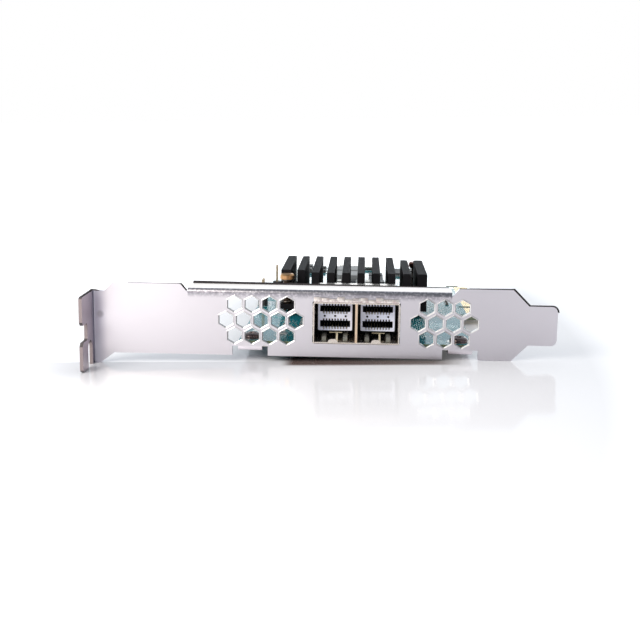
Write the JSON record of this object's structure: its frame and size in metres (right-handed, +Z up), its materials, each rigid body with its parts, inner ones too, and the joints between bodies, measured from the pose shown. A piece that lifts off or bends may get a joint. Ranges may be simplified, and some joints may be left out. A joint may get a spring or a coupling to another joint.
{
  "type": "host bus adapter",
  "caption": "Low-profile plug-in server card with a full-height vented steel bracket, shielded cable ports, gold edge contacts and a black finned heat sink on push pins.",
  "frame": {"origin": "under the middle of the whole card, at the level of the screw tab's lowest edge", "axes": "+X along the bracket from the screw tab to the tongue, +Y back along the board away from the bracket's outer face, +Z up from the board's solder side to its heat sink side"},
  "size_m": [0.12, 0.1554, 0.0213],
  "materials": {
    "plated_steel": "bright nickel plate",
    "screw_steel": "zinc plate",
    "solder_mask": "glossy green mask",
    "gold": "hard gold plate",
    "cage_metal": "warm tin plate",
    "housing_plastic": "satin moulding",
    "guide_plastic": "frosted clear moulding",
    "black_anodised": "matt black anodised",
    "pin_brass": "bare turned brass",
    "spring_steel": "drawn wire",
    "pad_grey": "soft filled silicone",
    "substrate_green": "package laminate",
    "package_black": "moulded epoxy",
    "tin": "dull tin",
    "core_grey": "pressed powder core",
    "capacitor_tan": "fired ceramic",
    "bulk_black": "moulded epoxy",
    "lid_metal": "plated lid",
    "header_black": "satin moulding",
    "lamp_white": "clear lens on white base"
  },
  "bodies": {
    "root": {"bracket": "plated_steel", "bracket_screws": "screw_steel", "board": "solder_mask", "edge_contacts": "gold", "port_cage": "cage_metal", "cage_divider": "cage_metal", "cage_floor": "cage_metal", "earthing_fingers": "cage_metal", "earthing_leaves": "gold", "receptacle_housing_left": "housing_plastic", "receptacle_housing_right": "housing_plastic", "receptacle_contacts_left": "gold", "receptacle_contacts_right": "gold", "light_guides": "guide_plastic", "port_lamps": "lamp_white", "heat_sink": "black_anodised", "push_pins": "pin_brass", "push_pin_springs": "spring_steel", "thermal_pad": "pad_grey", "controller_substrate": "substrate_green", "controller_cap": "package_black", "memory_chips": "package_black", "memory_leads": "tin", "boot_chips": "package_black", "boot_leads": "tin", "logic_chips": "package_black", "logic_leads": "tin", "oscillator_base": "package_black", "oscillator_lid": "lid_metal", "inductors": "core_grey", "inductor_terminals": "tin", "regulators": "package_black", "power_transistors": "package_black", "bulk_capacitors": "bulk_black", "bulk_terminals": "tin", "ceramic_bodies": "capacitor_tan", "ceramic_end_caps": "tin", "resistor_bodies": "package_black", "resistor_end_caps": "tin", "coupling_bodies": "capacitor_tan", "coupling_end_caps": "tin", "solder_side_bodies": "capacitor_tan", "solder_side_end_caps": "tin", "jumper_header": "header_black", "jumper_pins": "gold", "status_lamps": "lamp_white"}
  },
  "joints": []
}
